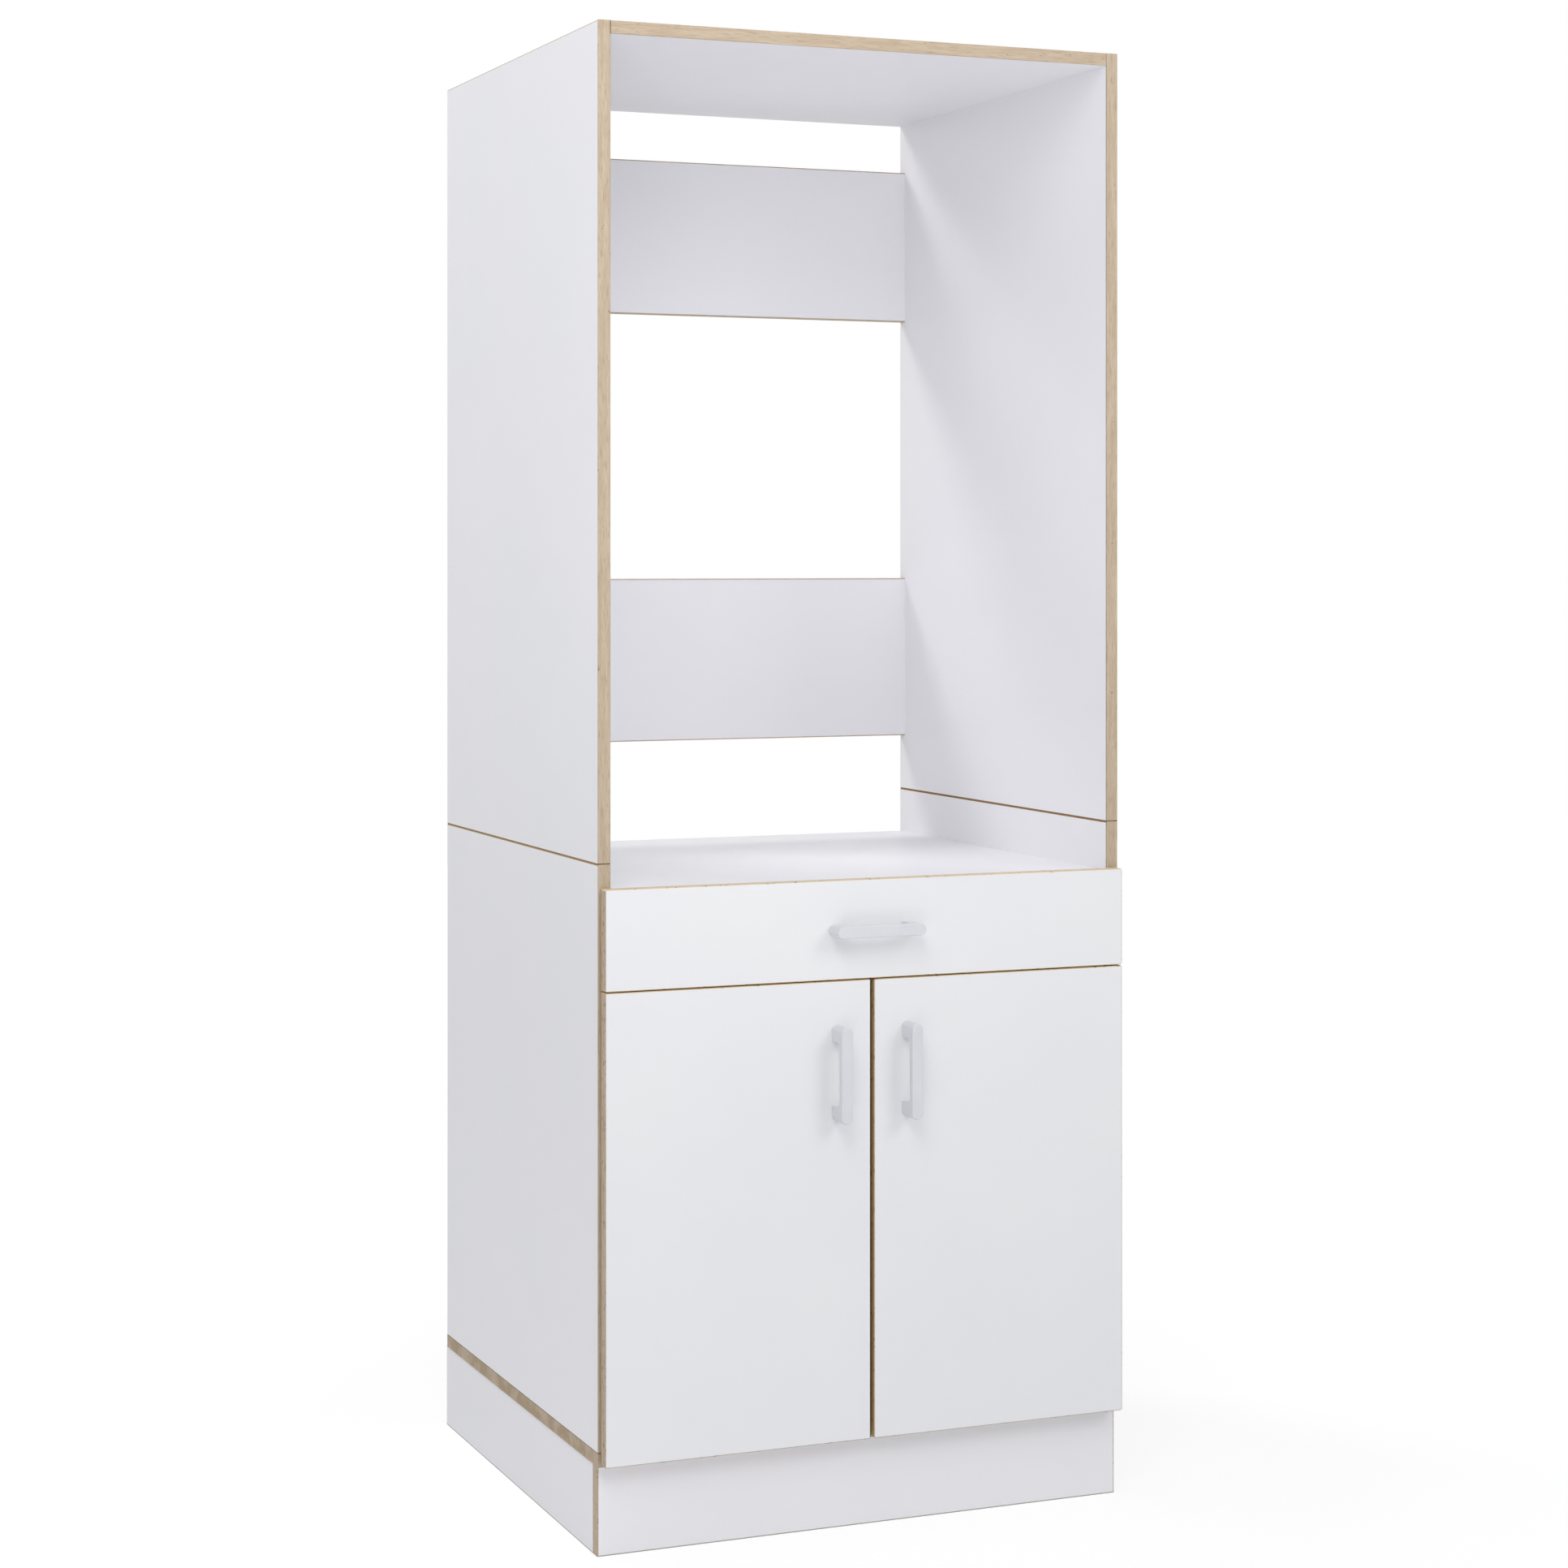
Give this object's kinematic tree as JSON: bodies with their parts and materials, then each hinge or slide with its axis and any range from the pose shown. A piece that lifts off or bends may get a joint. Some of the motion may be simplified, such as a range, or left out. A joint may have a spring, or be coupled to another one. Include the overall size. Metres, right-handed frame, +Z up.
{
  "type": "washing machine cabinet",
  "caption": "Tall white laminated washing machine cabinet with light wood edges: open upper bay on a platform, bow-handled drawer and double-door cupboard below, plinth at the foot.",
  "frame": {"origin": "middle of the footprint's bounding box, on the floor", "axes": "+Z up; the doors and drawer face -Y; +X is to the right when facing the cabinet's front"},
  "size_m": [0.7, 0.692, 1.865],
  "materials": {
    "white_board": "white melamine-faced particle board, fine satin texture",
    "back_sheet": "thin white-lacquered hardboard",
    "edge_band": "light birch-plywood effect edge banding, satin",
    "handle_plastic": "pale blue-grey matte moulded plastic",
    "drawer_board": "white foil-faced board",
    "dowel_wood": "plain beech",
    "cast_zinc": "dull die-cast zinc",
    "zinc_steel": "bright zinc-plated steel",
    "nickel_steel": "nickel-plated pressed steel",
    "runner_steel": "white powder-coated steel sheet",
    "roller_plastic": "off-white acetal, smooth",
    "clear_rubber": "translucent soft rubber"
  },
  "bodies": {
    "cabinet": {"upper_left_side": "white_board", "upper_right_side": "white_board", "top_panel": "white_board", "upper_back_rail": "white_board", "lower_back_rail": "white_board", "upper_unit_edging": "edge_band", "base_left_side": "white_board", "base_right_side": "white_board", "appliance_platform": "white_board", "platform_bearer": "white_board", "front_cross_rail": "white_board", "base_unit_edging": "edge_band", "bottom_panel": "white_board", "bottom_panel_edging": "edge_band", "base_back_panel": "back_sheet", "cupboard_shelf": "white_board", "shelf_pins": "zinc_steel", "plinth_front": "white_board", "plinth_back": "white_board", "plinth_left_side": "white_board", "plinth_right_side": "white_board", "plinth_edging": "edge_band", "plinth_corner_brackets": "zinc_steel", "wooden_dowels": "dowel_wood", "cam_bolts": "zinc_steel", "cam_discs": "cast_zinc", "carcass_screws": "zinc_steel", "chipboard_screws": "zinc_steel", "wall_brackets": "zinc_steel", "front_buffers": "clear_rubber", "hinge_plates": "nickel_steel", "hinge_arms": "nickel_steel", "hinge_arm_screws": "zinc_steel", "left_cabinet_runner": "runner_steel", "right_cabinet_runner": "runner_steel"},
    "drawer": {"drawer_front": "white_board", "drawer_front_edging": "edge_band", "drawer_handle": "handle_plastic", "drawer_handle_screws": "zinc_steel", "drawer_left_side": "drawer_board", "drawer_right_side": "drawer_board", "drawer_back": "drawer_board", "drawer_bottom": "back_sheet", "drawer_dowels": "dowel_wood", "left_drawer_runner": "runner_steel", "right_drawer_runner": "runner_steel"},
    "left_door_leaf": {"left_door": "white_board", "left_door_edging": "edge_band", "left_door_handle": "handle_plastic", "left_door_screws": "zinc_steel", "left_hinge_cups": "nickel_steel"},
    "right_door_leaf": {"right_door": "white_board", "right_door_edging": "edge_band", "right_door_handle": "handle_plastic", "right_door_screws": "zinc_steel", "right_hinge_cups": "nickel_steel"},
    "left_front_wheel": {"left_front_roller": "roller_plastic"},
    "right_front_wheel": {"right_front_roller": "roller_plastic"},
    "left_rear_wheel": {"left_rear_roller": "roller_plastic"},
    "right_rear_wheel": {"right_rear_roller": "roller_plastic"}
  },
  "joints": [
    {"name": "drawer_slide", "type": "slide", "parent": "cabinet", "child": "drawer", "axis": [0, -1, 0], "range_m": [0, 0.38]},
    {"name": "left_door_swing", "type": "hinge", "parent": "cabinet", "child": "left_door_leaf", "pos_m": [-0.3408, -0.306, 0.39395], "axis": [0, 0, -1], "range_deg": [0, 100]},
    {"name": "right_door_swing", "type": "hinge", "parent": "cabinet", "child": "right_door_leaf", "pos_m": [0.3408, -0.306, 0.39395], "axis": [0, 0, 1], "range_deg": [0, 100]},
    {"name": "left_front_roller_spin", "type": "hinge", "parent": "cabinet", "child": "left_front_wheel", "pos_m": [-0.3293, -0.282, 0.6943], "axis": [1, 0, 0], "continuous": true},
    {"name": "left_rear_roller_spin", "type": "hinge", "parent": "drawer", "child": "left_rear_wheel", "pos_m": [-0.3257, 0.186, 0.697], "axis": [1, 0, 0], "continuous": true},
    {"name": "right_front_roller_spin", "type": "hinge", "parent": "cabinet", "child": "right_front_wheel", "pos_m": [0.3293, -0.282, 0.6943], "axis": [1, 0, 0], "continuous": true},
    {"name": "right_rear_roller_spin", "type": "hinge", "parent": "drawer", "child": "right_rear_wheel", "pos_m": [0.3257, 0.186, 0.697], "axis": [1, 0, 0], "continuous": true}
  ],
  "couplings": [
    {"joint": "left_front_roller_spin", "follows": "drawer_slide", "rad_per_m": 166.67},
    {"joint": "left_rear_roller_spin", "follows": "drawer_slide", "rad_per_m": 114.94},
    {"joint": "right_front_roller_spin", "follows": "drawer_slide", "rad_per_m": 166.67},
    {"joint": "right_rear_roller_spin", "follows": "drawer_slide", "rad_per_m": 114.94}
  ]
}
